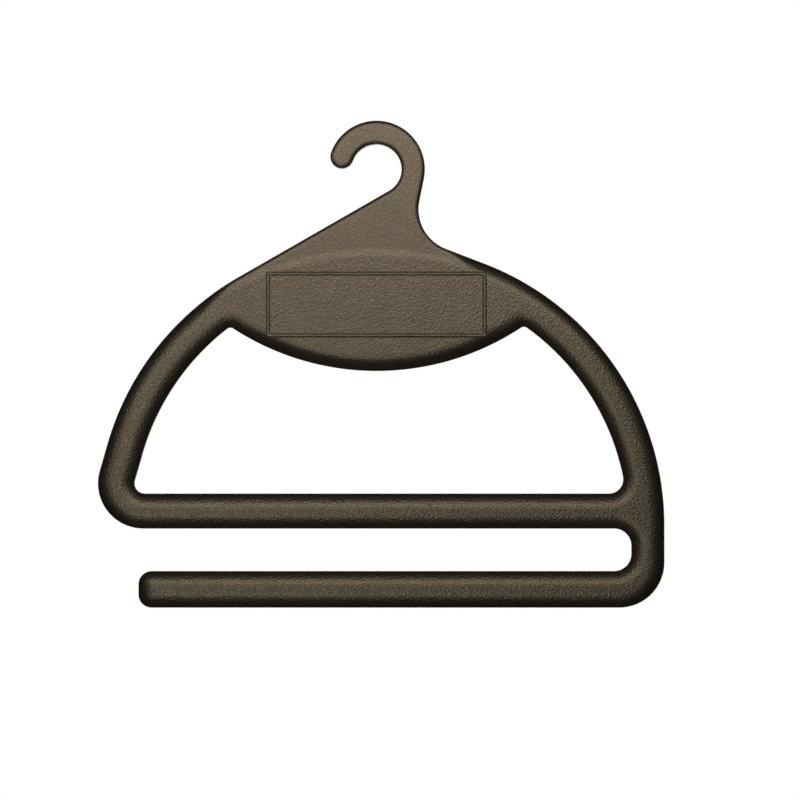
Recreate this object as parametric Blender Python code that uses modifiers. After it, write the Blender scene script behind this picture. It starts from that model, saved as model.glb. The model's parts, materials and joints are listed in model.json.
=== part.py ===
"""Accessory hanger: a flat hook and neck over a D-shaped frame with an open lower bar.

Two hollow half-shells meet on the hanger's middle plane, located by pins in sockets, and a bare
name plate sits in a pocket in the front shell. The hanger hangs: +X is its right, +Z is up and its
front faces -Y. The origin is the hook's seat, the top of the hook's inner arc.
"""

import math

import bmesh
import bpy
from mathutils import Matrix, Vector
from mathutils.geometry import delaunay_2d_cdt

MM = 0.001

# Hook and neck
HOOK_INNER_RADIUS = 12.7 * MM
HOOK_BAND = 12.1 * MM
HOOK_TIP_ANGLE = math.radians(160)
NECK_LEAN = math.radians(11.5)
NECK_FILLET = 21.5 * MM
NECK_THICKNESS = 11.0 * MM

# D-shaped frame below its crown; the right arch sits a little lower and further right
CROWN_DROP = 49.2 * MM
ARCH_RADIUS = 143.1 * MM
RIGHT_ARCH_SHIFT = 4.1 * MM
RIGHT_ARCH_DROP = 2.1 * MM
SHOULDER_SLOPE = math.radians(20.6)
LEFT_LIMB_LEAN = math.radians(16)
ARM_WIDTH = 18.9 * MM
LENS_DEPTH = 66.6 * MM
LENS_RADIUS = 134.5 * MM
BODY_THICKNESS = 12.0 * MM

# Bars, from the arch centre's level
UPPER_BAR_RISE = 14.1 * MM
UPPER_BAR_HEIGHT = 18.1 * MM
SLOT_HEIGHT = 21.9 * MM
LOWER_BAR_HEIGHT = 18.5 * MM
LOWER_BAR_REACH = 121.7 * MM
RIGHT_LIMB_WIDTH = 17.1 * MM

# Corners of the outline
CORNER_RADIUS = 23.2 * MM
SLOT_RADIUS = 8.7 * MM
BAR_END_RADIUS = 6.8 * MM
PEAK_RADIUS = 2.5 * MM
WINDOW_RIGHT_RADIUS = 7.2 * MM

# How far each rounded edge reaches over the face, and its share of the half thickness
TIGHT_REACH = 3.1 * MM
WIDE_REACH = 8.0 * MM
TIGHT_SHARE = 0.24
WIDE_SHARE = 0.9
LIMB_REACH_SHARE = 0.48

# Length of edge over which one rounding turns into the next
SLOPE_FADE = 30.0 * MM
LEFT_FADE = 30.0 * MM
RIGHT_FADE = 9.3 * MM

# Crest: the soft step from the thin neck to the thick body
CREST_BELOW_CROWN = 5.7 * MM
CREST_RADIUS = 161.0 * MM
CREST_WIDTH = 6.6 * MM

# Shells
WALL = 2.2 * MM
CAVITY_REACH_SHARE = 0.69
PARTING_GAP = 0.3 * MM
RIB_THICKNESS = 1.6 * MM
RIB_PITCH = 30.0 * MM
BOSS_RADIUS = 4.6 * MM
PIN_RADIUS = 1.5 * MM
PIN_LENGTH = 2.4 * MM
PIN_CLEARANCE = 0.3 * MM
LENS_BOSS_RISE = 9.6 * MM
NECK_BOSS_RISE = 7.5 * MM
ARM_RIB_ANGLES = (21, 45)
ARM_BOSS_ANGLES = (33, 57)
HOOK_BOSS_ANGLES = (0, 75, 148)

# Name plate and its pocket
PLATE_WIDTH = 112.4 * MM
PLATE_HEIGHT = 33.4 * MM
PLATE_DROP = 32.5 * MM
PLATE_THICKNESS = 1.2 * MM
PLATE_CORNER = 1.0 * MM
PLATE_CLEARANCE = 0.3 * MM
BEAD_WIDTH = 1.5 * MM
BEAD_RISE = 0.5 * MM
BEAD_ROUNDING = 0.3 * MM
POCKET_FLOOR = 1.7 * MM
PAD_MARGIN = 1.5 * MM
PEG_RADIUS = 1.5 * MM
PEG_INSET_X = 12.0 * MM
PEG_INSET_Z = 7.5 * MM
PEG_TIP = 0.5 * MM

# Fineness of the surfaces
CHORD = 0.12 * MM
FADE_STEPS = 4
ROUND_STEPS = 4
CAVITY_STEPS = 2
CREST_STEPS = 4
CREST_PITCH = 10.0 * MM
CREST_MARGIN = 1.0 * MM
CREST_HALF_SPAN = math.radians(60)
ROUND_SIDES = 8
PLATE_CORNER_STEPS = 3
BEAD_STEPS = 2
BEAD_MIN_ANGLE = math.radians(60)
SHARP_ANGLE = math.radians(35)
NEWTON_STEPS = 20
OVERRUN = 2.0 * MM
MERGE = 0.001 * MM

# Dark bronze plastic
BRONZE = (0.105, 0.083, 0.057)
ROUGHNESS = 0.4
METALLIC = 0.9

FRONT, REAR = -1, 1
NARROWEST_LIMB = min(ARM_WIDTH, UPPER_BAR_HEIGHT, LOWER_BAR_HEIGHT, RIGHT_LIMB_WIDTH)
TIGHT = (TIGHT_REACH, TIGHT_SHARE)
WIDE = (min(WIDE_REACH, LIMB_REACH_SHARE * NARROWEST_LIMB), WIDE_SHARE)

HOOK_CENTRE = Vector((0, -HOOK_INNER_RADIUS))
HOOK_OUTER_RADIUS = HOOK_INNER_RADIUS + HOOK_BAND
HOOK_MID_RADIUS = HOOK_INNER_RADIUS + HOOK_BAND / 2
LEFT_CENTRE = Vector((0, -CROWN_DROP - ARCH_RADIUS))
RIGHT_CENTRE = LEFT_CENTRE + Vector((RIGHT_ARCH_SHIFT, -RIGHT_ARCH_DROP))
INNER_RADIUS = ARCH_RADIUS - ARM_WIDTH
ARM_MID_RADIUS = ARCH_RADIUS - ARM_WIDTH / 2
LENS_BOTTOM = -CROWN_DROP - LENS_DEPTH
LENS_CENTRE = Vector((0, LENS_BOTTOM + LENS_RADIUS))
CREST_CENTRE = Vector((0, -CROWN_DROP - CREST_BELOW_CROWN - CREST_RADIUS))
UPPER_BAR_TOP = LEFT_CENTRE.y + UPPER_BAR_RISE
UPPER_BAR_BOTTOM = UPPER_BAR_TOP - UPPER_BAR_HEIGHT
LOWER_BAR_TOP = UPPER_BAR_BOTTOM - SLOT_HEIGHT
LOWER_BAR_BOTTOM = LOWER_BAR_TOP - LOWER_BAR_HEIGHT
LIMB_OUTSIDE = RIGHT_CENTRE.x + ARCH_RADIUS
LIMB_INSIDE = LIMB_OUTSIDE - RIGHT_LIMB_WIDTH
WINDOW_LEFT_RADIUS = max(CORNER_RADIUS - UPPER_BAR_HEIGHT, PEAK_RADIUS)
PLATE_CENTRE = Vector((0, -CROWN_DROP - PLATE_DROP))
POCKET_LEVEL = BODY_THICKNESS / 2 - PLATE_THICKNESS - PLATE_CLEARANCE
PAD_LEVEL = POCKET_LEVEL - POCKET_FLOOR


def direction(angle):
    return Vector((math.cos(angle), math.sin(angle)))


def smooth(share):
    share = min(max(share, 0.0), 1.0)
    return share * share * (3 - 2 * share)


class Line:
    """A straight run of an outline, with the material on its left."""

    def __init__(self, point, heading):
        self.point = Vector(point)
        self.along = direction(heading)
        self.normal = direction(heading + math.pi / 2)

    def depth(self, point):
        return (point - self.point).dot(self.normal)

    def inward(self, point):
        return self.normal

    def foot(self, point):
        return point - self.depth(point) * self.normal

    def length(self, start, end):
        return (end - start).dot(self.along)

    def place(self, start, distance):
        return start + distance * self.along

    def stations(self, length, fade_in, fade_out):
        steps = [step / FADE_STEPS for step in range(FADE_STEPS)]
        into = [fade_in * (1 - share) for share in reversed(steps)] if fade_in else []
        out = [length - fade_out * (1 - share) for share in steps] if fade_out else []
        return [0.0] + into + out


class Arc:
    """A round run; turn 1 has the material inside its circle and turn -1 has it outside."""

    def __init__(self, centre, radius, turn):
        self.centre = Vector(centre)
        self.radius = radius
        self.turn = turn

    def depth(self, point):
        return self.turn * (self.radius - (point - self.centre).length)

    def inward(self, point):
        return self.turn * (self.centre - point).normalized()

    def foot(self, point):
        return self.centre + self.radius * (point - self.centre).normalized()

    def angle(self, point):
        away = point - self.centre
        return math.atan2(away.y, away.x)

    def length(self, start, end):
        return self.radius * (self.turn * (self.angle(end) - self.angle(start)) % math.tau)

    def place(self, start, distance):
        angle = self.angle(start) + self.turn * distance / self.radius
        return self.centre + self.radius * direction(angle)

    def stations(self, length, fade_in, fade_out):
        pitch = 2 * self.radius * math.acos(1 - CHORD / self.radius)
        count = math.ceil(length / pitch)
        return [length * step / count for step in range(count)]


class Run:
    """A line or arc with its edge rounding, and the corner that leads on to the next run.

    corner is None where the two are tangent; otherwise it is the corner's radius, negative where
    the corner is hollow, and a point near its centre.
    """

    def __init__(self, shape, rounding, corner=None, fade_in=0.0, fade_out=0.0, start=None, end=None):
        self.shape = shape
        self.rounding = rounding
        self.start = start or rounding
        self.end = end or rounding
        self.corner = corner
        self.fade_in = fade_in
        self.fade_out = fade_out

    def rounding_at(self, distance, length):
        if distance < self.fade_in:
            other, share = self.start, smooth(distance / self.fade_in)
        elif length - distance < self.fade_out:
            other, share = self.end, smooth((length - distance) / self.fade_out)
        else:
            return self.rounding
        return tuple(a + (b - a) * share for a, b in zip(other, self.rounding))


class Rim:
    """One point of an outline, which can be moved into the material."""

    def __init__(self, point, inward, rounding, corner=None):
        self.point = point
        self.inward = inward
        self.reach, self.share = rounding
        self.corner = corner

    def inset(self, depth):
        """Past the centre of a round corner, its points run on together along the mitre."""
        if self.corner:
            centre, radius, mitre = self.corner
            if depth >= radius:
                return centre + (depth - radius) * mitre
        return self.point + depth * self.inward


def tangent_to(centre, radius, heading):
    """A line of this heading beside a circle: inside the material, or outside it if radius is below 0."""
    return Line(centre - radius * direction(heading + math.pi / 2), heading)


def meet(first, second, depth, guess):
    """The point that lies this deep in the material of both runs, found from a guess."""
    point = Vector(guess)
    for _ in range(NEWTON_STEPS):
        a, b = first.inward(point), second.inward(point)
        miss_a, miss_b = depth - first.depth(point), depth - second.depth(point)
        cross = a.x * b.y - a.y * b.x
        point += Vector((miss_a * b.y - miss_b * a.y, miss_b * a.x - miss_a * b.x)) / cross
    return point


def trace(runs):
    """One closed outline with its corners rounded, as a list of rims."""
    joints = []
    for run, following in zip(runs, runs[1:] + runs[:1]):
        first, second = run.shape, following.shape
        if run.corner:
            radius, guess = run.corner
            turn = math.copysign(1, radius)
            arc = Arc(meet(first, second, radius, guess), abs(radius), turn)
            joints.append((first.foot(arc.centre), arc, second.foot(arc.centre)))
        elif isinstance(second, Arc):
            joints.append((first.foot(second.centre), None, first.foot(second.centre)))
        else:
            joints.append((second.foot(first.centre), None, second.foot(first.centre)))
    rims = []
    for index, run in enumerate(runs):
        _, arc_before, start = joints[index - 1]
        end, arc, onward = joints[index]
        shape, length = run.shape, run.shape.length(start, end)
        stations = shape.stations(length, run.fade_in, run.fade_out)
        for distance in stations[1:] if arc_before else stations:
            point = shape.place(start, distance)
            rims.append(Rim(point, shape.inward(point), run.rounding_at(distance, length)))
        if arc:
            rims += round_corner(arc, end, onward, run.end)
    return rims


def round_corner(arc, start, end, rounding):
    """The rims of a corner, both ends included, which a deep inset gathers on its mitre."""
    a, b = arc.inward(start), arc.inward(end)
    corner = (arc.centre, arc.radius, (a + b) / (1 + a.dot(b))) if arc.turn > 0 else None
    length = arc.length(start, end)
    points = [arc.place(start, distance) for distance in arc.stations(length, 0.0, 0.0) + [length]]
    return [Rim(point, arc.inward(point), rounding, corner) for point in points]


def outer_outline():
    """Round the whole hanger, from the top of the hook over its tip and back up the neck."""
    tip_centre = HOOK_CENTRE + HOOK_MID_RADIUS * direction(HOOK_TIP_ANGLE)
    rise = (LEFT_CENTRE - HOOK_CENTRE).length
    slope_heading = -math.pi / 2 - math.asin((ARCH_RADIUS + HOOK_INNER_RADIUS) / rise)
    slope = tangent_to(LEFT_CENTRE, ARCH_RADIUS, slope_heading)
    left_limb = tangent_to(LEFT_CENTRE, ARCH_RADIUS, -math.pi / 2 - LEFT_LIMB_LEAN)
    shoulder = tangent_to(RIGHT_CENTRE, ARCH_RADIUS, math.pi - SHOULDER_SLOPE)
    neck_side = tangent_to(HOOK_CENTRE, HOOK_OUTER_RADIUS, math.pi / 2 - NECK_LEAN)
    bar_end_corner = (BAR_END_RADIUS, LEFT_CENTRE)
    outer_corner = (CORNER_RADIUS, LEFT_CENTRE)
    slot_corner = (-SLOT_RADIUS, LEFT_CENTRE)
    return trace([
        Run(Arc(HOOK_CENTRE, HOOK_OUTER_RADIUS, 1), TIGHT),
        Run(Arc(tip_centre, HOOK_BAND / 2, 1), TIGHT),
        Run(Arc(HOOK_CENTRE, HOOK_INNER_RADIUS, -1), TIGHT),
        Run(slope, TIGHT, fade_out=SLOPE_FADE),
        Run(Arc(LEFT_CENTRE, ARCH_RADIUS, 1), WIDE, start=TIGHT, fade_in=LEFT_FADE),
        Run(left_limb, WIDE, outer_corner),
        Run(Line((0, UPPER_BAR_BOTTOM), 0), WIDE, slot_corner),
        Run(Line((LIMB_INSIDE, 0), -math.pi / 2), WIDE, slot_corner),
        Run(Line((0, LOWER_BAR_TOP), math.pi), WIDE, bar_end_corner),
        Run(Line((-LOWER_BAR_REACH, 0), -math.pi / 2), WIDE, bar_end_corner),
        Run(Line((0, LOWER_BAR_BOTTOM), 0), WIDE, outer_corner),
        Run(Line((LIMB_OUTSIDE, 0), math.pi / 2), WIDE),
        Run(Arc(RIGHT_CENTRE, ARCH_RADIUS, 1), WIDE),
        Run(shoulder, WIDE, (-NECK_FILLET, HOOK_CENTRE), end=TIGHT, fade_out=RIGHT_FADE),
        Run(neck_side, TIGHT),
    ])


def window_outline():
    """Round the window between the arms, the lens-shaped body and the upper bar."""
    left_limb = tangent_to(LEFT_CENTRE, -INNER_RADIUS, math.pi / 2 - LEFT_LIMB_LEAN)
    between = (LEFT_CENTRE.y + LENS_CENTRE.y) / 2
    left_peak = (-PEAK_RADIUS, Vector((-INNER_RADIUS / 2, between)))
    right_peak = (-PEAK_RADIUS, Vector((INNER_RADIUS / 2, between)))
    right_corner = (-WINDOW_RIGHT_RADIUS, Vector((INNER_RADIUS, UPPER_BAR_TOP)))
    return trace([
        Run(left_limb, WIDE),
        Run(Arc(LEFT_CENTRE, INNER_RADIUS, -1), WIDE, left_peak),
        Run(Arc(LENS_CENTRE, LENS_RADIUS, 1), WIDE, right_peak),
        Run(Arc(RIGHT_CENTRE, INNER_RADIUS, -1), WIDE, right_corner),
        Run(Line((0, UPPER_BAR_TOP), math.pi), WIDE, (-WINDOW_LEFT_RADIUS, LEFT_CENTRE)),
    ])


def half_thickness(point):
    depth = CREST_RADIUS + CREST_WIDTH / 2 - (point - CREST_CENTRE).length
    step = (BODY_THICKNESS - NECK_THICKNESS) * smooth(depth / CREST_WIDTH)
    return (NECK_THICKNESS + step) / 2


def cavity_height(point):
    return half_thickness(point) - WALL


def rounded_edge(rim, start, reach, height, steps):
    """Places and levels from the edge's side up over its rounding, to the flat face."""
    top = height(rim.inset(start + reach))
    for step in range(steps + 1):
        turn = math.pi / 2 * step / steps
        level = top * (1 - rim.share + rim.share * math.sin(turn))
        yield rim.inset(start + reach * (1 - math.cos(turn))), level


def shell_rings(rim):
    return [(rim.point, PARTING_GAP / 2)] + list(
        rounded_edge(rim, 0.0, rim.reach, half_thickness, ROUND_STEPS)
    )


def cavity_rings(rim):
    reach = rim.reach * CAVITY_REACH_SHARE
    return [(rim.inset(WALL), -OVERRUN)] + list(
        rounded_edge(rim, WALL, reach, cavity_height, CAVITY_STEPS)
    )


def distinct(level):
    """The places of one ring, without those that a corner's mitre has run together."""
    kept = []
    for point, height in level:
        if not kept or (point - kept[-1][0]).length > MERGE:
            kept.append((point, height))
    return kept


def distance_to(point, loop):
    nearest = math.inf
    for start, end in zip(loop, loop[1:] + loop[:1]):
        along = end - start
        share = min(max((point - start).dot(along) / along.length_squared, 0.0), 1.0)
        nearest = min(nearest, (point - start - share * along).length)
    return nearest


def is_inside(point, loops):
    """Whether a point lies within the outer loop and outside the others."""
    crossings = 0
    for loop in loops:
        for a, b in zip(loop, loop[1:] + loop[:1]):
            if (a.y > point.y) != (b.y > point.y):
                crossings += point.x < a.x + (b.x - a.x) * (point.y - a.y) / (b.y - a.y)
    return crossings % 2 == 1


def crest_rows(loops):
    """Rows of points along the crest, broken off wherever they come near the edge of the face."""
    rows = []
    for step in range(CREST_STEPS + 1):
        radius = CREST_RADIUS + CREST_WIDTH * (0.5 - step / CREST_STEPS)
        count = math.ceil(2 * CREST_HALF_SPAN * radius / CREST_PITCH)
        rows.append([])
        for index in range(count + 1):
            angle = math.pi / 2 + CREST_HALF_SPAN * (1 - 2 * index / count)
            point = CREST_CENTRE + radius * direction(angle)
            if is_inside(point, loops) and min(distance_to(point, loop) for loop in loops) > CREST_MARGIN:
                rows[-1].append(point)
            else:
                rows.append([])
    return rows


def add_face(bm, loops, rows, height, side):
    """A face within the outer loop and outside the others, bent along the rows of points."""
    points, levels, edges = [], [], []
    for loop in loops:
        first, count = len(points), len(loop)
        points += [point for point, _ in loop]
        levels += [level for _, level in loop]
        edges += [(first + i, first + (i + 1) % count) for i in range(count)]
    for row in rows:
        edges += [(len(points) + i, len(points) + i + 1) for i in range(len(row) - 1)]
        points += row
        levels += [height(point) for point in row]
    borders = [[point for point, _ in loop] for loop in loops]
    placed, _, triangles, origins, _, _ = delaunay_2d_cdt(points, edges, [], 0, MERGE / 10)
    verts = []
    for point, origin in zip(placed, origins):
        level = levels[origin[0]] if origin else height(point)
        verts.append(bm.verts.new((point.x, side * level, point.y)))
    for triangle in triangles:
        middle = sum((placed[i] for i in triangle), Vector((0, 0))) / 3
        if is_inside(middle, borders):
            bm.faces.new([verts[i] for i in triangle])


def loft(name, outlines, rings, height, side, collection):
    """A closed solid of rings, stacked up each outline, with a flat bottom and a shaped face."""
    bm = bmesh.new()
    bottoms, tops = [], []
    for rims in outlines:
        stacks = [rings(rim) for rim in rims]
        levels = list(zip(*stacks))
        rows = [[bm.verts.new((p.x, side * h, p.y)) for p, h in level] for level in levels]
        for low, high in zip(rows, rows[1:]):
            for i in range(len(low)):
                j = (i + 1) % len(low)
                bm.faces.new((low[i], low[j], high[j], high[i]))
        bottoms.append(distinct(levels[0]))
        tops.append(distinct(levels[-1]))
    add_face(bm, bottoms, [], height, side)
    add_face(bm, tops, crest_rows([[p for p, _ in top] for top in tops]), height, side)
    bmesh.ops.remove_doubles(bm, verts=bm.verts, dist=MERGE)
    return finish(bm, name, collection)


def finish(bm, name, collection):
    bmesh.ops.recalc_face_normals(bm, faces=bm.faces)
    mesh = bpy.data.meshes.new(name)
    bm.to_mesh(mesh)
    bm.free()
    made = bpy.data.objects.new(name, mesh)
    collection.objects.link(made)
    return made


def add_box(bm, centre, length, width, angle, low, high, side):
    """A box on the face, its length turned by an angle, between two levels on one side."""
    turn = Matrix.Rotation(-angle, 4, "Y")
    place = Matrix.Translation((centre.x, side * (low + high) / 2, centre.y))
    scale = Matrix.Diagonal((length, high - low, width, 1))
    return bmesh.ops.create_cube(bm, size=1, matrix=place @ turn @ scale)["verts"]


def add_cylinder(bm, centre, radius, low, high, side):
    place = Matrix.Translation((centre.x, side * (low + high) / 2, centre.y))
    bmesh.ops.create_cone(
        bm,
        cap_ends=True,
        segments=ROUND_SIDES,
        radius1=radius,
        radius2=radius,
        depth=high - low,
        matrix=place @ Matrix.Rotation(math.pi / 2, 4, "X"),
    )


def cylinders(name, centres, radius, low, high, side, collection):
    bm = bmesh.new()
    for centre in centres:
        add_cylinder(bm, centre, radius, low, high, side)
    return finish(bm, name, collection)


def slab(name, width, height, corner, low, high, collection):
    """A rectangle with round corners, in front of the middle plane at the plate's place."""
    bm = bmesh.new()
    add_box(bm, PLATE_CENTRE, width, height, 0, low, high, FRONT)
    upright = [e for e in bm.edges if abs((e.verts[0].co - e.verts[1].co).y) > MERGE]
    bmesh.ops.bevel(
        bm, geom=upright, offset=corner, segments=PLATE_CORNER_STEPS, profile=0.5, affect="EDGES"
    )
    return finish(bm, name, collection)


def bar_stations(low, high):
    """Places along a bar, a pitch apart and centred between its ends."""
    count = int((high - low) / RIB_PITCH)
    first = (low + high - (count - 1) * RIB_PITCH) / 2
    return [first + index * RIB_PITCH for index in range(count)]


def bar_places():
    """Places along both bars with the bar's height there: those of the ribs and of the bosses."""
    upper = (UPPER_BAR_TOP + UPPER_BAR_BOTTOM) / 2
    lower = (LOWER_BAR_TOP + LOWER_BAR_BOTTOM) / 2
    places = [(Vector((x, upper)), UPPER_BAR_HEIGHT) for x in bar_stations(-INNER_RADIUS, INNER_RADIUS)]
    places += [(Vector((x, lower)), LOWER_BAR_HEIGHT) for x in bar_stations(-LOWER_BAR_REACH, LIMB_INSIDE)]
    return places[1::2], places[0::2]


def boss_centres():
    bosses = [centre for centre, _ in bar_places()[1]]
    bosses.append(Vector(((LIMB_INSIDE + LIMB_OUTSIDE) / 2, (UPPER_BAR_BOTTOM + LOWER_BAR_TOP) / 2)))
    bosses.append(Vector((0, LENS_BOTTOM + LENS_BOSS_RISE)))
    bosses.append(Vector((0, -CROWN_DROP + NECK_BOSS_RISE)))
    for angle in map(math.radians, ARM_BOSS_ANGLES):
        bosses.append(LEFT_CENTRE + ARM_MID_RADIUS * direction(math.pi - angle))
        bosses.append(RIGHT_CENTRE + ARM_MID_RADIUS * direction(angle))
    for angle in map(math.radians, HOOK_BOSS_ANGLES):
        bosses.append(HOOK_CENTRE + HOOK_MID_RADIUS * direction(angle))
    return bosses


def ribs(name, side, collection):
    """Cross ribs, as the boxes that are kept out of a shell's cavity."""
    bm = bmesh.new()
    low, high = -2 * OVERRUN, BODY_THICKNESS
    for centre, length in bar_places()[0]:
        add_box(bm, centre, length, RIB_THICKNESS, math.pi / 2, low, high, side)
    for angle in map(math.radians, ARM_RIB_ANGLES):
        for middle, turn in ((LEFT_CENTRE, math.pi - angle), (RIGHT_CENTRE, angle)):
            centre = middle + ARM_MID_RADIUS * direction(turn)
            add_box(bm, centre, ARM_WIDTH, RIB_THICKNESS, turn, low, high, side)
    return finish(bm, name, collection)


def subtract(target, *pieces):
    """Cuts every piece out of the target at once.

    The solver is MANIFOLD because EXACT leaves edges with four faces where a rib or the pad ends
    on the rounding of the cavity.
    """
    cutters = bpy.data.collections.new(target.name + "_cutters")
    bpy.data.collections["cutters"].children.link(cutters)
    for piece in pieces:
        cutters.objects.link(piece)
    cut = target.modifiers.new(cutters.name, "BOOLEAN")
    cut.operation = "DIFFERENCE"
    cut.solver = "MANIFOLD"
    cut.operand_type = "COLLECTION"
    cut.collection = cutters


def add(target, piece):
    join = target.modifiers.new(piece.name, "BOOLEAN")
    join.operation = "UNION"
    join.solver = "EXACT"
    join.object = piece


def cavity(name, outlines, side, collection, *kept):
    """The hollow of one shell, less its ribs, its bosses and whatever else is kept solid."""
    hollow = loft(name, outlines, cavity_rings, cavity_height, side, collection)
    bosses = cylinders(
        name + "_bosses", boss_centres(), BOSS_RADIUS, -2 * OVERRUN, BODY_THICKNESS, side, collection
    )
    subtract(hollow, ribs(name + "_ribs", side, collection), bosses, *kept)
    return hollow


def peg_centres():
    reach = Vector((PLATE_WIDTH / 2 - PEG_INSET_X, PLATE_HEIGHT / 2 - PEG_INSET_Z))
    return [PLATE_CENTRE + Vector((x * reach.x, z * reach.y)) for x in (-1, 1) for z in (-1, 1)]


def front_shell(outlines, parts, cutters):
    shell = loft("front_shell", outlines, shell_rings, half_thickness, FRONT, parts)
    bm = bmesh.new()
    pad_width, pad_height = PLATE_WIDTH + 2 * PAD_MARGIN, PLATE_HEIGHT + 2 * PAD_MARGIN
    add_box(bm, PLATE_CENTRE, pad_width, pad_height, 0, PAD_LEVEL, BODY_THICKNESS, FRONT)
    hollow = cavity("front_cavity", outlines, FRONT, cutters, finish(bm, "pad", cutters))
    pocket = slab(
        "pocket",
        PLATE_WIDTH + 2 * PLATE_CLEARANCE,
        PLATE_HEIGHT + 2 * PLATE_CLEARANCE,
        PLATE_CORNER + PLATE_CLEARANCE,
        POCKET_LEVEL,
        BODY_THICKNESS,
        cutters,
    )
    holes = cylinders(
        "peg_holes", peg_centres(), PEG_RADIUS + PIN_CLEARANCE, 0, BODY_THICKNESS, FRONT, cutters
    )
    depth = PARTING_GAP / 2 + PIN_LENGTH + PIN_CLEARANCE
    sockets = cylinders(
        "sockets", boss_centres(), PIN_RADIUS + PIN_CLEARANCE, -OVERRUN, depth, FRONT, cutters
    )
    subtract(shell, hollow, pocket, holes, sockets)
    return shell


def rear_shell(outlines, parts, cutters):
    shell = loft("rear_shell", outlines, shell_rings, half_thickness, REAR, parts)
    tip = PARTING_GAP / 2 + PIN_LENGTH
    add(shell, cylinders("pins", boss_centres(), PIN_RADIUS, -tip, OVERRUN, REAR, cutters))
    subtract(shell, cavity("rear_cavity", outlines, REAR, cutters))
    return shell


def name_plate(parts, cutters):
    face = BODY_THICKNESS / 2
    back = face - PLATE_THICKNESS
    plate = slab("name_plate", PLATE_WIDTH, PLATE_HEIGHT, PLATE_CORNER, back, face + BEAD_RISE, parts)
    field = slab(
        "name_field",
        PLATE_WIDTH - 2 * BEAD_WIDTH,
        PLATE_HEIGHT - 2 * BEAD_WIDTH,
        PLATE_CORNER,
        face,
        face + BODY_THICKNESS,
        cutters,
    )
    subtract(plate, field)
    edge = plate.modifiers.new("bead_rounding", "BEVEL")
    edge.width = BEAD_ROUNDING
    edge.segments = BEAD_STEPS
    edge.limit_method = "ANGLE"
    edge.angle_limit = BEAD_MIN_ANGLE
    pegs = cylinders(
        "pegs", peg_centres(), PEG_RADIUS, PAD_LEVEL - PEG_TIP, back + PLATE_THICKNESS / 2, FRONT, cutters
    )
    add(plate, pegs)
    return plate


def paint(piece):
    material = bpy.data.materials.new(piece.name)
    material.use_nodes = True
    shader = material.node_tree.nodes["Principled BSDF"]
    shader.inputs["Base Color"].default_value = (*BRONZE, 1.0)
    shader.inputs["Roughness"].default_value = ROUGHNESS
    shader.inputs["Metallic"].default_value = METALLIC
    piece.data.materials.append(material)


def main():
    for leftover in list(bpy.data.objects):
        bpy.data.objects.remove(leftover)
    parts = bpy.data.collections.new("accessory_hanger")
    cutters = bpy.data.collections.new("cutters")
    for collection in (parts, cutters):
        bpy.context.scene.collection.children.link(collection)
    outlines = [outer_outline(), window_outline()]
    front = front_shell(outlines, parts, cutters)
    rear = rear_shell(outlines, parts, cutters)
    plate = name_plate(parts, cutters)
    for cutter in cutters.objects:
        cutter.hide_render = True
        cutter.display_type = "WIRE"
    for piece in (front, rear, plate):
        paint(piece)
        piece.data.shade_smooth()
        piece.data.set_sharp_from_angle(angle=SHARP_ANGLE)


main()
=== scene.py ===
"""Looks of the accessory hanger: fine shells with a leather grain, a bare name plate and a studio."""

import json
import math

import bmesh
import bpy
import numpy as np
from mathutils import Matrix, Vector
from mathutils.geometry import delaunay_2d_cdt

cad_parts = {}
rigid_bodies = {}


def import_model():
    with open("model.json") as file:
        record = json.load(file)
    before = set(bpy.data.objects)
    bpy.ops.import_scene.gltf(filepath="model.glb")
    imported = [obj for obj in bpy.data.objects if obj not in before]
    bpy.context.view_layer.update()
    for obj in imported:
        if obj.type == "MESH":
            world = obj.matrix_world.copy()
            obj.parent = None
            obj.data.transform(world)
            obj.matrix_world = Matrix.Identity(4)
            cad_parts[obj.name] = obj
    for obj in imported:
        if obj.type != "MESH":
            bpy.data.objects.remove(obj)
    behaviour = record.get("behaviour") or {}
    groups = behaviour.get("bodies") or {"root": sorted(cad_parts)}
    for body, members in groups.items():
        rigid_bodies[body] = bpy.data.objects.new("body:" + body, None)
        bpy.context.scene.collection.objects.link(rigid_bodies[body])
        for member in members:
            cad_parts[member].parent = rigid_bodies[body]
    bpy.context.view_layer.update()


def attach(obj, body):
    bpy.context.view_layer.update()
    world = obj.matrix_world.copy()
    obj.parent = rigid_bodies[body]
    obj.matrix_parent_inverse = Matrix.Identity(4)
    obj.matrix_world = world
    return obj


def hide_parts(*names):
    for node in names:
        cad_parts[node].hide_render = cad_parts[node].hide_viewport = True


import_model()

MM = 0.001

# Hook and neck, with the origin on the hook's seat
HOOK_INNER_RADIUS = 12.7 * MM
HOOK_BAND = 12.1 * MM
HOOK_TIP_ANGLE = math.radians(160)
NECK_LEAN = math.radians(11.5)
NECK_FILLET = 21.5 * MM
NECK_THICKNESS = 11.2 * MM

# D-shaped frame
CROWN_DROP = 49.2 * MM
ARCH_RADIUS = 143.1 * MM
RIGHT_ARCH_SHIFT = 4.1 * MM
RIGHT_ARCH_DROP = 2.1 * MM
SHOULDER_SLOPE = math.radians(20.6)
LEFT_LIMB_LEAN = math.radians(16)
ARM_WIDTH = 18.9 * MM
LENS_DEPTH = 66.6 * MM
LENS_RADIUS = 134.5 * MM
BODY_THICKNESS = 12.0 * MM

# Bars, from the arch centre's level
UPPER_BAR_RISE = 14.1 * MM
UPPER_BAR_HEIGHT = 18.1 * MM
SLOT_HEIGHT = 21.5 * MM
LOWER_BAR_HEIGHT = 18.9 * MM
LOWER_BAR_REACH = 121.7 * MM
RIGHT_LIMB_WIDTH = 17.1 * MM

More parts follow.
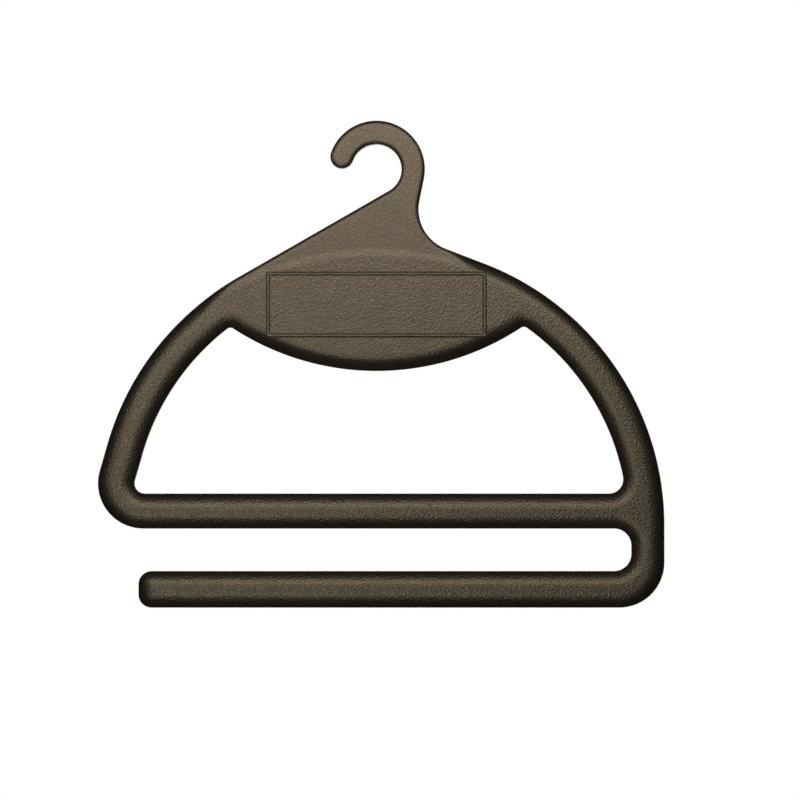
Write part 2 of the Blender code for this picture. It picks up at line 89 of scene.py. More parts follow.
# Corners of the outline
CORNER_RADIUS = 23.2 * MM
SLOT_RADIUS = 8.7 * MM
BAR_END_RADIUS = 6.8 * MM
PEAK_RADIUS = 2.5 * MM
WINDOW_LEFT_RADIUS = CORNER_RADIUS - UPPER_BAR_HEIGHT
WINDOW_RIGHT_RADIUS = 7.2 * MM

# Each edge rounding as its reach over the face, its share of the half thickness and its form. A form
# of 1 is an ellipse and 2 is a parabola.
TIGHT = (2.6 * MM, 0.23, 1.3)
WIDE = (8.2 * MM, 0.9, 1.3)
LENS = (8.0 * MM, 0.9, 2.0)

# Lengths of edge over which one rounding turns into the next
SLOPE_FADE = 30.0 * MM
LEFT_FADE = 30.0 * MM
RIGHT_FADE = 20.0 * MM
LENS_FADE = 20.0 * MM

# Crest: the soft step from the thin neck to the thick body
CREST_BELOW_CROWN = 6.0 * MM
CREST_RADIUS = 161.0 * MM
CREST_WIDTH = 5.8 * MM
CREST_HALF_SPAN = math.radians(60)

# The skin lies this far inside the outline, so that its arcs stay within the solids' box
SKIN_INSET = 0.1 * MM

# Seam between the shells: an open groove with the rear shell's lip behind it
SEAM_WIDTH = 0.3 * MM
SEAM_DEPTH = 0.8 * MM
SEAM_ROUNDING = 0.15 * MM
LIP_RISE = 0.145 * MM

# Name plate, its bead and its pocket
PLATE_WIDTH = 112.0 * MM
PLATE_HEIGHT = 33.0 * MM
PLATE_DROP = 32.65 * MM
PLATE_THICKNESS = 1.2 * MM
PLATE_CORNER = 1.0 * MM
PLATE_CLEARANCE = 0.3 * MM
BEAD_WIDTH = 1.5 * MM
BEAD_RISE = 0.5 * MM
MOAT_WIDTH = 0.4 * MM
MOAT_DEPTH = 0.2 * MM

# Fineness of the surfaces
CHORD = 0.02 * MM
PITCH = 2.5 * MM
ROUND_STEPS = 14
SEAM_STEPS = 3
BEAD_STEPS = 5
CREST_STEPS = 14
FACE_PITCH = 2.0 * MM
FACE_MARGIN = 0.8 * MM
SHARP_ANGLE = math.radians(40)
NEWTON_STEPS = 20
MERGE = 0.0005 * MM
TRIANGULATION_EPSILON = 0.00005 * MM

# The side of the middle plane that each shell is on
FRONT = -1
REAR = 1

HOOK_CENTRE = Vector((0, -HOOK_INNER_RADIUS))
HOOK_OUTER_RADIUS = HOOK_INNER_RADIUS + HOOK_BAND
HOOK_MID_RADIUS = HOOK_INNER_RADIUS + HOOK_BAND / 2
LEFT_CENTRE = Vector((0, -CROWN_DROP - ARCH_RADIUS))
RIGHT_CENTRE = LEFT_CENTRE + Vector((RIGHT_ARCH_SHIFT, -RIGHT_ARCH_DROP))
INNER_RADIUS = ARCH_RADIUS - ARM_WIDTH
LENS_CENTRE = Vector((0, -CROWN_DROP - LENS_DEPTH + LENS_RADIUS))
CREST_CENTRE = Vector((0, -CROWN_DROP - CREST_BELOW_CROWN - CREST_RADIUS))
UPPER_BAR_TOP = LEFT_CENTRE.y + UPPER_BAR_RISE
UPPER_BAR_BOTTOM = UPPER_BAR_TOP - UPPER_BAR_HEIGHT
LOWER_BAR_TOP = UPPER_BAR_BOTTOM - SLOT_HEIGHT
LOWER_BAR_BOTTOM = LOWER_BAR_TOP - LOWER_BAR_HEIGHT
LIMB_OUTSIDE = RIGHT_CENTRE.x + ARCH_RADIUS
LIMB_INSIDE = LIMB_OUTSIDE - RIGHT_LIMB_WIDTH
PLATE_CENTRE = Vector((0, -CROWN_DROP - PLATE_DROP))
FACE_LEVEL = BODY_THICKNESS / 2
PLATE_BACK = FACE_LEVEL - PLATE_THICKNESS


def direction(angle):
    return Vector((math.cos(angle), math.sin(angle)))


def smooth(share):
    share = min(max(share, 0.0), 1.0)
    return share * share * (3 - 2 * share)


def smoother(share):
    share = min(max(share, 0.0), 1.0)
    return share ** 3 * (share * (6 * share - 15) + 10)


class Line:
    """A straight run of an outline, with the material on its left."""

    def __init__(self, point, heading):
        self.point = Vector(point)
        self.along = direction(heading)
        self.normal = direction(heading + math.pi / 2)

    def depth(self, point):
        return (point - self.point).dot(self.normal)

    def inward(self, point):
        return self.normal

    def foot(self, point):
        return point - self.depth(point) * self.normal

    def length(self, start, end):
        return (end - start).dot(self.along)

    def place(self, start, distance):
        return start + distance * self.along

    def pitch(self):
        return PITCH


class Arc:
    """A round run; turn 1 has the material inside its circle and turn -1 has it outside."""

    def __init__(self, centre, radius, turn):
        self.centre = Vector(centre)
        self.radius = radius
        self.turn = turn

    def depth(self, point):
        return self.turn * (self.radius - (point - self.centre).length)

    def inward(self, point):
        return self.turn * (self.centre - point).normalized()

    def foot(self, point):
        return self.centre + self.radius * (point - self.centre).normalized()

    def angle(self, point):
        away = point - self.centre
        return math.atan2(away.y, away.x)

    def length(self, start, end):
        return self.radius * (self.turn * (self.angle(end) - self.angle(start)) % math.tau)

    def place(self, start, distance):
        angle = self.angle(start) + self.turn * distance / self.radius
        return self.centre + self.radius * direction(angle)

    def pitch(self):
        return min(PITCH, 2 * self.radius * math.acos(1 - CHORD / self.radius))


class Run:
    """A line or arc with its edge rounding, and the corner that leads on to the next run.

    corner is None where the two are tangent; otherwise it is the corner's radius, negative where
    the corner is hollow, and a point near its centre. The rounding fades in from the start's and
    out to the end's, each over its own length.
    """

    def __init__(self, shape, rounding, corner=None, fade_in=0.0, fade_out=0.0, start=None, end=None):
        self.shape = shape
        self.rounding = rounding
        self.start = start or rounding
        self.end = end or rounding
        self.corner = corner
        self.fade_in = fade_in
        self.fade_out = fade_out

    def rounding_at(self, distance, length):
        if distance < self.fade_in:
            other, share = self.start, smooth(distance / self.fade_in)
        elif length - distance < self.fade_out:
            other, share = self.end, smooth((length - distance) / self.fade_out)
        else:
            return self.rounding
        return tuple(a + (b - a) * share for a, b in zip(other, self.rounding))


class Rim:
    """One point of an outline, which can be moved into the material."""

    def __init__(self, point, inward, rounding, corner=None):
        self.point = point
        self.inward = inward
        self.reach, self.share, self.form = rounding
        self.corner = corner

    def inset(self, depth):
        """Past the centre of a round corner, its points run on together along the mitre."""
        if self.corner:
            centre, radius, mitre = self.corner
            if depth >= radius:
                return centre + (depth - radius) * mitre
        return self.point + depth * self.inward


def tangent_to(centre, radius, heading):
    """A line of this heading that touches a circle, which is outside the material if radius < 0."""
    return Line(centre - radius * direction(heading + math.pi / 2), heading)


def meet(first, second, depth, guess):
    """The point that lies this deep in the material of both runs, found from a guess."""
    point = Vector(guess)
    for _ in range(NEWTON_STEPS):
        a, b = first.inward(point), second.inward(point)
        miss_a, miss_b = depth - first.depth(point), depth - second.depth(point)
        cross = a.x * b.y - a.y * b.x
        point += Vector((miss_a * b.y - miss_b * a.y, miss_b * a.x - miss_a * b.x)) / cross
    return point


def stations(shape, length, before=0.0, after=0.0):
    """Even distances along a run, which leave out a stretch at its start and at its end."""
    middle = length - before - after
    count = math.ceil(middle / shape.pitch())
    return [before + middle * step / count for step in range(count + 1)]


def overlap(corner, rounding):
    """How far a corner's mitre runs along the next run, where the rounding outreaches the corner."""
    reach = rounding[0]
    return max(reach - corner.radius, 0.0) if corner and corner.turn > 0 else 0.0


def trace(runs):
    """One closed outline with its corners rounded, as a list of rims."""
    joints = []
    for run, following in zip(runs, runs[1:] + runs[:1]):
        first, second = run.shape, following.shape
        if run.corner:
            radius, guess = run.corner
            arc = Arc(meet(first, second, radius, guess), abs(radius), math.copysign(1, radius))
            joints.append((first.foot(arc.centre), arc, second.foot(arc.centre)))
        elif isinstance(second, Arc):
            joints.append((first.foot(second.centre), None, first.foot(second.centre)))
        else:
            joints.append((second.foot(first.centre), None, second.foot(first.centre)))
    rims = []
    for index, run in enumerate(runs):
        _, arc_before, start = joints[index - 1]
        end, arc, onward = joints[index]
        shape, length = run.shape, run.shape.length(start, end)
        before, after = overlap(arc_before, run.start), overlap(arc, run.end)
        for distance in stations(shape, length, before, after)[1 if arc_before else 0:-1]:
            point = shape.place(start, distance)
            rims.append(Rim(point, shape.inward(point), run.rounding_at(distance, length)))
        if arc:
            rims += round_corner(arc, end, onward, run.end)
    return rims


def round_corner(arc, start, end, rounding):
    """The rims of a corner, both ends included, which a deep inset gathers on its mitre."""
    a, b = arc.inward(start), arc.inward(end)
    corner = (arc.centre, arc.radius, (a + b) / (1 + a.dot(b))) if arc.turn > 0 else None
    points = [arc.place(start, distance) for distance in stations(arc, arc.length(start, end))]
    return [Rim(point, arc.inward(point), rounding, corner) for point in points]


def outer_outline():
    """Round the whole hanger, from the top of the hook over its tip and back up the neck."""
    tip_centre = HOOK_CENTRE + HOOK_MID_RADIUS * direction(HOOK_TIP_ANGLE)
    rise = (LEFT_CENTRE - HOOK_CENTRE).length
    slope_heading = -math.pi / 2 - math.asin((ARCH_RADIUS + HOOK_INNER_RADIUS) / rise)
    slope = tangent_to(LEFT_CENTRE, ARCH_RADIUS, slope_heading)
    left_limb = tangent_to(LEFT_CENTRE, ARCH_RADIUS, -math.pi / 2 - LEFT_LIMB_LEAN)
    shoulder = tangent_to(RIGHT_CENTRE, ARCH_RADIUS, math.pi - SHOULDER_SLOPE)
    neck_side = tangent_to(HOOK_CENTRE, HOOK_OUTER_RADIUS, math.pi / 2 - NECK_LEAN)
    bar_end_corner = (BAR_END_RADIUS, LEFT_CENTRE)
    outer_corner = (CORNER_RADIUS, LEFT_CENTRE)
    slot_corner = (-SLOT_RADIUS, LEFT_CENTRE)
    return trace([
        Run(Arc(HOOK_CENTRE, HOOK_OUTER_RADIUS, 1), TIGHT),
        Run(Arc(tip_centre, HOOK_BAND / 2, 1), TIGHT),
        Run(Arc(HOOK_CENTRE, HOOK_INNER_RADIUS, -1), TIGHT),
        Run(slope, TIGHT, fade_out=SLOPE_FADE),
        Run(Arc(LEFT_CENTRE, ARCH_RADIUS, 1), WIDE, start=TIGHT, fade_in=LEFT_FADE),
        Run(left_limb, WIDE, outer_corner),
        Run(Line((0, UPPER_BAR_BOTTOM), 0), WIDE, slot_corner),
        Run(Line((LIMB_INSIDE, 0), -math.pi / 2), WIDE, slot_corner),
        Run(Line((0, LOWER_BAR_TOP), math.pi), WIDE, bar_end_corner),
        Run(Line((-LOWER_BAR_REACH, 0), -math.pi / 2), WIDE, bar_end_corner),
        Run(Line((0, LOWER_BAR_BOTTOM), 0), WIDE, outer_corner),
        Run(Line((LIMB_OUTSIDE, 0), math.pi / 2), WIDE),
        Run(Arc(RIGHT_CENTRE, ARCH_RADIUS, 1), WIDE),
        Run(shoulder, WIDE, (-NECK_FILLET, HOOK_CENTRE), end=TIGHT, fade_out=RIGHT_FADE),
        Run(neck_side, TIGHT),
    ])


def window_outline():
    """Round the window between the arms, the lens-shaped body and the upper bar."""
    left_limb = tangent_to(LEFT_CENTRE, -INNER_RADIUS, math.pi / 2 - LEFT_LIMB_LEAN)
    between = (LEFT_CENTRE.y + LENS_CENTRE.y) / 2
    left_peak = (-PEAK_RADIUS, Vector((-INNER_RADIUS / 2, between)))
    right_peak = (-PEAK_RADIUS, Vector((INNER_RADIUS / 2, between)))
    right_corner = (-WINDOW_RIGHT_RADIUS, Vector((INNER_RADIUS, UPPER_BAR_TOP)))
    return trace([
        Run(left_limb, WIDE),
        Run(Arc(LEFT_CENTRE, INNER_RADIUS, -1), WIDE, left_peak),
        Run(Arc(LENS_CENTRE, LENS_RADIUS, 1), LENS, right_peak, LENS_FADE, LENS_FADE, WIDE, WIDE),
        Run(Arc(RIGHT_CENTRE, INNER_RADIUS, -1), WIDE, right_corner),
        Run(Line((0, UPPER_BAR_TOP), math.pi), WIDE, (-WINDOW_LEFT_RADIUS, LEFT_CENTRE)),
    ])


def plate_outline(grow=0.0):
    """The name plate's round-cornered rectangle, or one that is larger all round."""
    across, up = PLATE_WIDTH / 2 + grow, PLATE_HEIGHT / 2 + grow
    corner = (PLATE_CORNER + grow, PLATE_CENTRE)
    return trace([
        Run(Line(PLATE_CENTRE + Vector((0, up)), math.pi), TIGHT, corner),
        Run(Line(PLATE_CENTRE - Vector((across, 0)), -math.pi / 2), TIGHT, corner),
        Run(Line(PLATE_CENTRE - Vector((0, up)), 0), TIGHT, corner),
        Run(Line(PLATE_CENTRE + Vector((across, 0)), math.pi / 2), TIGHT, corner),
    ])


def half_thickness(point):
    """Thin above the crest and thick below it."""
    depth = CREST_RADIUS + CREST_WIDTH / 2 - (point - CREST_CENTRE).length
    step = (BODY_THICKNESS - NECK_THICKNESS) * smoother(depth / CREST_WIDTH)
    return (NECK_THICKNESS + step) / 2


def quarter(steps):
    """Angles from 0 to a right angle."""
    return [math.pi / 2 * step / steps for step in range(steps + 1)]


def shell_rings(rim):
    """From the seam's edge out, up the side and over the rounding, as places and levels."""
    rings = []
    for turn in quarter(SEAM_STEPS):
        inset = SKIN_INSET + SEAM_ROUNDING * (1 - math.sin(turn))
        rings.append((rim.inset(inset), SEAM_WIDTH / 2 + SEAM_ROUNDING * (1 - math.cos(turn))))
    top = half_thickness(rim.inset(rim.reach))
    for turn in quarter(ROUND_STEPS):
        level = top * (1 - rim.share + rim.share * math.sin(turn) ** rim.form)
        inset = SKIN_INSET + (rim.reach - SKIN_INSET) * (1 - math.cos(turn))
        rings.append((rim.inset(inset), level))
    return rings


def lipped_rings(rim):
    """The same, and first a lip behind the seam's groove, which crosses the middle plane."""
    inner = rim.inset(SEAM_DEPTH)
    return [(inner, -LIP_RISE), (inner, SEAM_WIDTH / 2)] + shell_rings(rim)


def plate_rings(rim):
    """Up the plate's side, over its bead, through the fine groove at its foot and up to the field."""
    top = FACE_LEVEL + BEAD_RISE
    rings = [(rim.inset(0), PLATE_BACK)]
    for turn in quarter(BEAD_STEPS):
        inset = BEAD_RISE * (1 - math.cos(turn))
        rings.append((rim.inset(inset), FACE_LEVEL + BEAD_RISE * math.sin(turn)))
    for turn in quarter(BEAD_STEPS):
        inset = BEAD_WIDTH - BEAD_RISE * (1 - math.sin(turn))
        rings.append((rim.inset(inset), top - (BEAD_RISE + MOAT_DEPTH) * (1 - math.cos(turn))))
    rings.append((rim.inset(BEAD_WIDTH + MOAT_WIDTH / 2), FACE_LEVEL - MOAT_DEPTH))
    rings.append((rim.inset(BEAD_WIDTH + MOAT_WIDTH), FACE_LEVEL))
    return rings


def pocket_rings(rim):
    """From the pocket's floor straight up and out of the shell."""
    return [(rim.point, PLATE_BACK - PLATE_CLEARANCE), (rim.point, BODY_THICKNESS)]


def distinct(level):
    """The places of one ring, without those that a corner's mitre has run together."""
    kept = []
    for point, height in level:
        if not kept or (point - kept[-1][0]).length > MERGE:
            kept.append((point, height))
    return kept


def well_inside(points, loops, margin):
    """Which points lie in the face that the loops bound, at least a margin from its edge."""
    points = np.array([tuple(point) for point in points])
    crossings = np.zeros(len(points), int)
    nearest = np.full(len(points), np.inf)
    for loop in loops:
        places = np.array([tuple(place) for place in loop])
        for a, b in zip(places, np.roll(places, -1, axis=0)):
            spans = (a[1] > points[:, 1]) != (b[1] > points[:, 1])
            slope = (b[0] - a[0]) / (b[1] - a[1]) if a[1] != b[1] else 0.0
            crossings += spans & (points[:, 0] < a[0] + slope * (points[:, 1] - a[1]))
            along = b - a
            share = np.clip((points - a) @ along / (along @ along), 0, 1)
            nearest = np.minimum(nearest, np.linalg.norm(points - a - share[:, None] * along, axis=1))
    return (crossings % 2 == 1) & (nearest > margin)


def enclosed(triangles, border_lines):
    """The triangles that the borders enclose, found on the way in from the hull.

    Each border that is crossed leads from outside to inside, or back.
    """
    neighbours = {}
    for index, (a, b, c) in enumerate(triangles):
        for line in ((a, b), (b, c), (c, a)):
            neighbours.setdefault(frozenset(line), []).append(index)
    waiting = []
    for line, beside in neighbours.items():
        if len(beside) == 1:
            waiting.append((beside[0], line in border_lines))
    inside = {}
    while waiting:
        index, state = waiting.pop()
        if index in inside:
            continue
        inside[index] = state
        a, b, c = triangles[index]
        for line in map(frozenset, ((a, b), (b, c), (c, a))):
            waiting += [(beside, state != (line in border_lines)) for beside in neighbours[line]]
    return [index for index in sorted(inside) if inside[index]]


def crest_points():
    """Close rows of points along the crest, from its upper edge down to its lower one."""
    points = []
    count = math.ceil(2 * CREST_HALF_SPAN * CREST_RADIUS / FACE_PITCH)
    for step in range(CREST_STEPS + 1):
        radius = CREST_RADIUS + CREST_WIDTH * (0.5 - step / CREST_STEPS)
        for index in range(count + 1):
            angle = math.pi / 2 + CREST_HALF_SPAN * (1 - 2 * index / count)
            points.append(CREST_CENTRE + radius * direction(angle))
    return points


def grid_points(loop):
    """A triangular grid over the box of a loop, left open where the crest has its own points."""
    low = Vector((min(p.x for p in loop), min(p.y for p in loop)))
    high = Vector((max(p.x for p in loop), max(p.y for p in loop)))
    rise = FACE_PITCH * math.sqrt(3) / 2
    points = []
    for row in range(math.ceil((high.y - low.y) / rise)):
        for column in range(math.ceil((high.x - low.x) / FACE_PITCH)):
            point = low + Vector(((column + row % 2 / 2) * FACE_PITCH, row * rise))
            from_crest = abs((point - CREST_CENTRE).length - CREST_RADIUS)
            if from_crest > (CREST_WIDTH + FACE_PITCH) / 2:
                points.append(point)
    return points


def add_face(bm, loops, side, height=None):
    """A face within the outer loop and outside the others, which joins the levels of the loops.

    Where a height is given, the face has points of its own at the height that each place has.
    """
    points, levels, edges = [], [], []
    for loop in loops:
        first, count = len(points), len(loop)
        points += [point for point, _ in loop]
        levels += [level for _, level in loop]
        edges += [(first + i, first + (i + 1) % count) for i in range(count)]
    if height:
        borders = [[point for point, _ in loop] for loop in loops]
        extra = crest_points() + grid_points(borders[0])
        kept = well_inside(extra, borders, FACE_MARGIN)
        inner = [point for point, keep in zip(extra, kept) if keep]
        points += inner
        levels += [height(point) for point in inner]
    placed, lines, triangles, origins, sources, _ = delaunay_2d_cdt(
        points, edges, [], 0, TRIANGULATION_EPSILON)
    verts = []
    for point, origin in zip(placed, origins):
        verts.append(bm.verts.new((point.x, side * levels[origin[0]], point.y)))
    border_lines = {frozenset(line) for line, source in zip(lines, sources) if source}
    for index in enclosed(triangles, border_lines):
        bm.faces.new([verts[i] for i in triangles[index]])


def loft(name, outlines, rings, side, height=None):
    """A closed solid of rings, stacked up each outline, with a flat bottom and a face on top."""
    bm = bmesh.new()
    bottoms, tops = [], []
    for rims in outlines:
        levels = list(zip(*[rings(rim) for rim in rims]))
        rows = [[bm.verts.new((p.x, side * h, p.y)) for p, h in level] for level in levels]
        for low, high in zip(rows, rows[1:]):
            for i in range(len(low)):
                j = (i + 1) % len(low)
                bm.faces.new((low[i], low[j], high[j], high[i]))
        bottoms.append(distinct(levels[0]))
        tops.append(distinct(levels[-1]))
    add_face(bm, bottoms, side)
    add_face(bm, tops, side, height)
    bmesh.ops.remove_doubles(bm, verts=bm.verts, dist=MERGE)
    bmesh.ops.recalc_face_normals(bm, faces=bm.faces)
    mesh = bpy.data.meshes.new(name)
    bm.to_mesh(mesh)
    bm.free()
    piece = bpy.data.objects.new(name, mesh)
    bpy.context.scene.collection.objects.link(piece)
    return piece


def cut(target, cutter):
    """Takes the cutter out of the target for good, and removes it."""
    modifier = target.modifiers.new("cut", "BOOLEAN")
    modifier.operation = "DIFFERENCE"
    modifier.solver = "EXACT"
    modifier.object = cutter
    graph = bpy.context.evaluated_depsgraph_get()
    before = target.data
    target.data = bpy.data.meshes.new_from_object(target.evaluated_get(graph))
    target.modifiers.clear()
    bpy.data.meshes.remove(before)
    bpy.data.objects.remove(cutter)


def dress(piece, node, material):
    """Smooth shading, the material and the place in the frame."""
    piece.data.shade_smooth()
    piece.data.set_sharp_from_angle(angle=SHARP_ANGLE)
    piece.data.materials.clear()
    piece.data.materials.append(material)
    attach(piece, "root")
    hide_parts(node)


# Bronze plastic
BRONZE_DARK = (0.098, 0.077, 0.052, 1)
BRONZE_LIGHT = (0.112, 0.089, 0.062, 1)
TINT_SIZE = 9.0 * MM
TINT_DETAIL = 4.0
METALLIC = 0.92
VALLEY_ROUGHNESS = 0.45
PEBBLE_ROUGHNESS = 0.37

# Its leather grain: flat-topped pebbles, stretched along a slant, with a fine noise over them
GRAIN_SIZE = 1.75 * MM
GRAIN_DEPTH = 0.085 * MM
GRAIN_STRETCH = 1.4
GRAIN_TURN = math.radians(-45)
GRAIN_BEND = 0.7 * MM
BEND_SIZE = 5.25 * MM
PEBBLE_SLOPE_SHARE = 0.35
FINE_SIZE = 0.7 * MM
FINE_DETAIL = 3.0
FINE_SHARE = 0.6
BODY_GRAIN_SHARE = 1.0
NECK_GRAIN_SHARE = 0.45


class Nodes:
    """Short calls for building the nodes of a material or the world."""

    def __init__(self, tree):
        self.tree = tree

    def add(self, kind, **settings):
        node = self.tree.nodes.new(kind)
        for key, value in settings.items():
            setattr(node, key, value)
        return node

    def link(self, source, target):
        self.tree.links.new(source, target)

    def math(self, operation, a, b):
        node = self.add("ShaderNodeMath", operation=operation)
        for socket, value in zip(node.inputs, (a, b)):
            if isinstance(value, (int, float)):
                socket.default_value = value
            else:
                self.link(value, socket)
        return node.outputs[0]

    def noise(self, place, size, detail=2.0):
        node = self.add("ShaderNodeTexNoise")
        node.inputs["Scale"].default_value = 1 / size
        node.inputs["Detail"].default_value = detail
        self.link(place, node.inputs["Vector"])
        return node

    def pebbles(self, place, size):
        """Distance to the nearest valley of an irregular pebble grain."""
        node = self.add("ShaderNodeTexVoronoi", feature="DISTANCE_TO_EDGE")
        node.inputs["Scale"].default_value = 1 / size
        self.link(place, node.inputs["Vector"])
        return node.outputs["Distance"]

    def mix_colours(self, first, second):
        node = self.add("ShaderNodeMix", data_type="RGBA")
        node.inputs["A"].default_value = first
        node.inputs["B"].default_value = second
        return node

    def background(self, strength):
        node = self.add("ShaderNodeBackground")
        node.inputs["Color"].default_value = WHITE
        node.inputs["Strength"].default_value = strength
        return node.outputs[0]


def leather_grain(nodes, place):
    """The pebbles, from 0 in their valleys to 1 on top, and the height of the whole grain."""
    slant = nodes.add("ShaderNodeMapping", vector_type="TEXTURE")
    slant.inputs["Rotation"].default_value = (0, GRAIN_TURN, 0)
    slant.inputs["Scale"].default_value = (GRAIN_STRETCH, 1, 1)
    nodes.link(place, slant.inputs["Vector"])
    bend = nodes.noise(place, BEND_SIZE)
    bent = nodes.add("ShaderNodeVectorMath", operation="MULTIPLY_ADD")
    bent.inputs[1].default_value = (GRAIN_BEND, GRAIN_BEND, GRAIN_BEND)
    nodes.link(bend.outputs["Color"], bent.inputs[0])
    nodes.link(slant.outputs[0], bent.inputs[2])
    pebble = nodes.add("ShaderNodeMapRange", interpolation_type="SMOOTHSTEP")
    pebble.inputs["From Max"].default_value = PEBBLE_SLOPE_SHARE
    nodes.link(nodes.pebbles(bent.outputs[0], GRAIN_SIZE), pebble.inputs["Value"])
    fine = nodes.noise(slant.outputs[0], FINE_SIZE, FINE_DETAIL).outputs["Fac"]
    height = nodes.math("ADD", pebble.outputs[0], nodes.math("MULTIPLY", fine, FINE_SHARE))
    return pebble.outputs[0], height


def grain_strength(nodes, place):
    """Full on the body, and fading over the crest to less on the hook and neck."""
    offset = nodes.add("ShaderNodeVectorMath", operation="SUBTRACT")
    offset.inputs[1].default_value = (CREST_CENTRE.x, 0, CREST_CENTRE.y)
    nodes.link(place, offset.inputs[0])
    flat = nodes.add("ShaderNodeVectorMath", operation="MULTIPLY")
    flat.inputs[1].default_value = (1, 0, 1)
    nodes.link(offset.outputs[0], flat.inputs[0])
    away = nodes.add("ShaderNodeVectorMath", operation="LENGTH")
    nodes.link(flat.outputs[0], away.inputs[0])
    strength = nodes.add("ShaderNodeMapRange", interpolation_type="SMOOTHSTEP")
    strength.inputs["From Min"].default_value = CREST_RADIUS - CREST_WIDTH
    strength.inputs["From Max"].default_value = CREST_RADIUS + CREST_WIDTH
    strength.inputs["To Min"].default_value = BODY_GRAIN_SHARE
    strength.inputs["To Max"].default_value = NECK_GRAIN_SHARE
    nodes.link(away.outputs["Value"], strength.inputs["Value"])
    return strength.outputs[0]


def bronze_plastic():
    material = bpy.data.materials.new("bronze_plastic")
    material.use_nodes = True
    nodes = Nodes(material.node_tree)
    shader = material.node_tree.nodes["Principled BSDF"]
    shader.inputs["Metallic"].default_value = METALLIC
    place = nodes.add("ShaderNodeTexCoord").outputs["Object"]
    pebbles, height = leather_grain(nodes, place)

    bump = nodes.add("ShaderNodeBump")
    bump.inputs["Distance"].default_value = GRAIN_DEPTH
    nodes.link(grain_strength(nodes, place), bump.inputs["Strength"])
    nodes.link(height, bump.inputs["Height"])
    nodes.link(bump.outputs[0], shader.inputs["Normal"])

    tint = nodes.mix_colours(BRONZE_DARK, BRONZE_LIGHT)
    nodes.link(nodes.noise(place, TINT_SIZE, TINT_DETAIL).outputs["Fac"], tint.inputs["Factor"])
    nodes.link(tint.outputs["Result"], shader.inputs["Base Color"])

    gloss = nodes.add("ShaderNodeMapRange")
    gloss.inputs["To Min"].default_value = VALLEY_ROUGHNESS
    gloss.inputs["To Max"].default_value = PEBBLE_ROUGHNESS
    nodes.link(pebbles, gloss.inputs["Value"])
    nodes.link(gloss.outputs[0], shader.inputs["Roughness"])
    return material


def build_hanger():
    material = bronze_plastic()
    outlines = [outer_outline(), window_outline()]
    front = loft("front_shell_skin", outlines, shell_rings, FRONT, half_thickness)
    pocket = loft("pocket", [plate_outline(PLATE_CLEARANCE)], pocket_rings, FRONT)
    cut(front, pocket)
    dress(front, "front_shell", material)
    rear = loft("rear_shell_skin", outlines, lipped_rings, REAR, half_thickness)
    dress(rear, "rear_shell", material)
    plate = loft("name_plate_skin", [plate_outline()], plate_rings, FRONT)
    dress(plate, "name_plate", material)


# Camera: the photo's frame around the hanger
FRAME_CENTRE = Vector((12.0 * MM, 0, -130.5 * MM))
FRAME_WIDTH = 408.8 * MM
CAMERA_DISTANCE = 2.5
SENSOR = 36.0

# Floor: FLOOR_BOUNCE is the colour that it shows to the hanger, whose lower edges are nearly black in
# the photo
FLOOR_LEVEL = -1.0
FLOOR_RADIUS = 0.7
FLOOR_SEGMENTS = 96
FLOOR_COLOUR = (0.86, 0.86, 0.85, 1)
FLOOR_BOUNCE = (0.28, 0.28, 0.28, 1)
FLOOR_ROUGHNESS = 0.8
FLOOR_GLOW = 0.65

# World: the backdrop is what a reflection sees behind the hanger
WHITE = (1, 1, 1, 1)
AMBIENT = 0.03
BACKDROP_STRENGTH = 1.0
BACKDROP_HALF_ANGLE = math.radians(25)

# Softboxes, each as its place, aim, width, height and watts. The two keys look the same way, and give
# the bars their two reflections.
KEY_LOOK = Vector((-0.187, 0.937, 0.295))
LOW_KEY = Vector((-0.352, -0.707, 0.075))
HIGH_KEY = Vector((0.101, -0.683, 0.285))
SOFTBOXES = {
    "low_key_softbox": (LOW_KEY, LOW_KEY + KEY_LOOK, 1.2, 0.22, 2.65),
    "high_key_softbox": (HIGH_KEY, HIGH_KEY + KEY_LOOK, 0.9, 0.22, 2.65),
    "fill_softbox": (Vector((-0.15, -1.25, -0.60)), Vector((-0.40, 0, -0.35)), 0.20, 0.3, 2.7),
    "rear_softbox": (Vector((0.1, 1.1, -0.05)), FRAME_CENTRE, 1.4, 0.8, 3.4),
}


def add_camera():
    data = bpy.data.cameras.new("camera")
    data.sensor_width = SENSOR
    data.lens = SENSOR * CAMERA_DISTANCE / FRAME_WIDTH
    camera = bpy.data.objects.new("camera", data)
    camera.location = FRAME_CENTRE - Vector((0, CAMERA_DISTANCE, 0))
    camera.rotation_euler = (math.pi / 2, 0, 0)
    bpy.context.scene.collection.objects.link(camera)
    bpy.context.scene.camera = camera


def add_softbox(name, place, aim, width, height, watts):
    data = bpy.data.lights.new(name, "AREA")
    data.shape = "RECTANGLE"
    data.size = width
    data.size_y = height
    data.energy = watts
    lamp = bpy.data.objects.new(name, data)
    lamp.location = place
    lamp.rotation_euler = (aim - place).to_track_quat("-Z", "Y").to_euler()
    lamp.visible_camera = False
    bpy.context.scene.collection.objects.link(lamp)


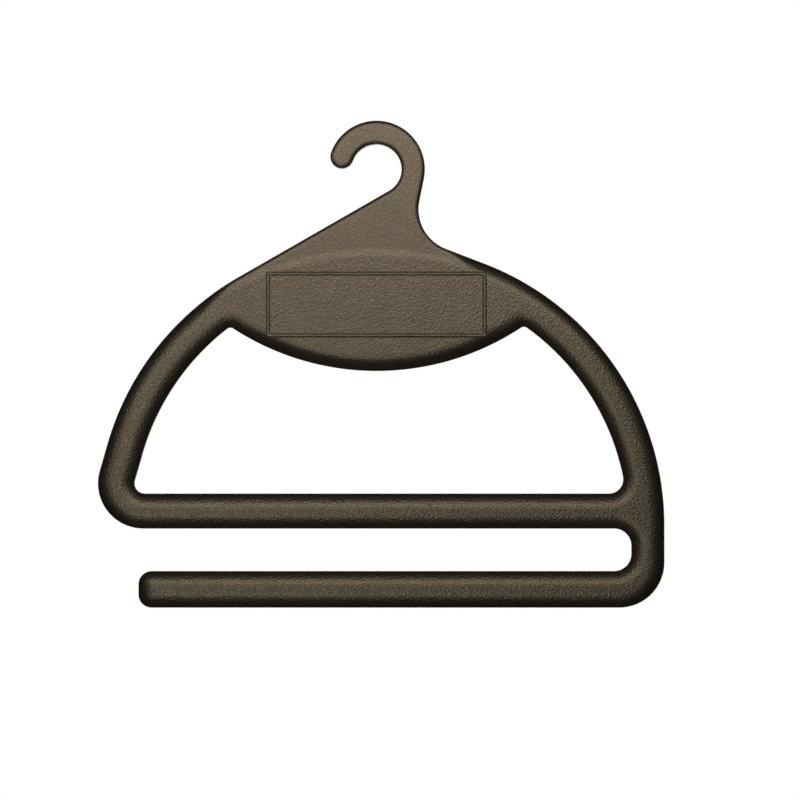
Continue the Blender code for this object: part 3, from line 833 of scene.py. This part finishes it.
def add_floor():
    """A pale round floor, which glows for the camera and looks darker to the hanger."""
    bm = bmesh.new()
    bmesh.ops.create_circle(bm, cap_ends=True, segments=FLOOR_SEGMENTS, radius=FLOOR_RADIUS)
    mesh = bpy.data.meshes.new("floor")
    bm.to_mesh(mesh)
    bm.free()
    floor = bpy.data.objects.new("floor", mesh)
    floor.location = (FRAME_CENTRE.x, 0, FLOOR_LEVEL)
    bpy.context.scene.collection.objects.link(floor)
    material = bpy.data.materials.new("floor")
    material.use_nodes = True
    shader = material.node_tree.nodes["Principled BSDF"]
    shader.inputs["Roughness"].default_value = FLOOR_ROUGHNESS
    shader.inputs["Emission Color"].default_value = FLOOR_COLOUR
    nodes = Nodes(material.node_tree)
    seen = nodes.add("ShaderNodeLightPath").outputs["Is Camera Ray"]
    colour = nodes.mix_colours(FLOOR_BOUNCE, FLOOR_COLOUR)
    nodes.link(seen, colour.inputs["Factor"])
    nodes.link(colour.outputs["Result"], shader.inputs["Base Color"])
    nodes.link(nodes.math("MULTIPLY", seen, FLOOR_GLOW), shader.inputs["Emission Strength"])
    mesh.materials.append(material)


def add_world():
    """White for the camera, and for mirrored rays that meet the backdrop; dim for all others."""
    world = bpy.data.worlds.new("studio")
    world.use_nodes = True
    bpy.context.scene.world = world
    nodes = Nodes(world.node_tree)
    world.node_tree.nodes.clear()
    path = nodes.add("ShaderNodeLightPath")
    way = nodes.add("ShaderNodeSeparateXYZ")
    nodes.link(nodes.add("ShaderNodeTexCoord").outputs["Generated"], way.inputs[0])
    behind = nodes.math("GREATER_THAN", way.outputs["Y"], math.cos(BACKDROP_HALF_ANGLE))
    mirrored = nodes.math("MAXIMUM", path.outputs["Is Glossy Ray"], path.outputs["Is Transmission Ray"])
    in_backdrop = nodes.math("MULTIPLY", mirrored, behind)
    seen = nodes.math("MAXIMUM", path.outputs["Is Camera Ray"], in_backdrop)
    mix = nodes.add("ShaderNodeMixShader")
    nodes.link(seen, mix.inputs["Fac"])
    nodes.link(nodes.background(AMBIENT), mix.inputs[1])
    nodes.link(nodes.background(BACKDROP_STRENGTH), mix.inputs[2])
    output = nodes.add("ShaderNodeOutputWorld")
    nodes.link(mix.outputs[0], output.inputs["Surface"])


def build_studio():
    for leftover in list(bpy.data.objects):
        if leftover.type in ("CAMERA", "LIGHT"):
            bpy.data.objects.remove(leftover)
    add_camera()
    for name, settings in SOFTBOXES.items():
        add_softbox(name, *settings)
    add_floor()
    add_world()
    bpy.context.scene.view_settings.view_transform = "Standard"


build_studio()
build_hanger()
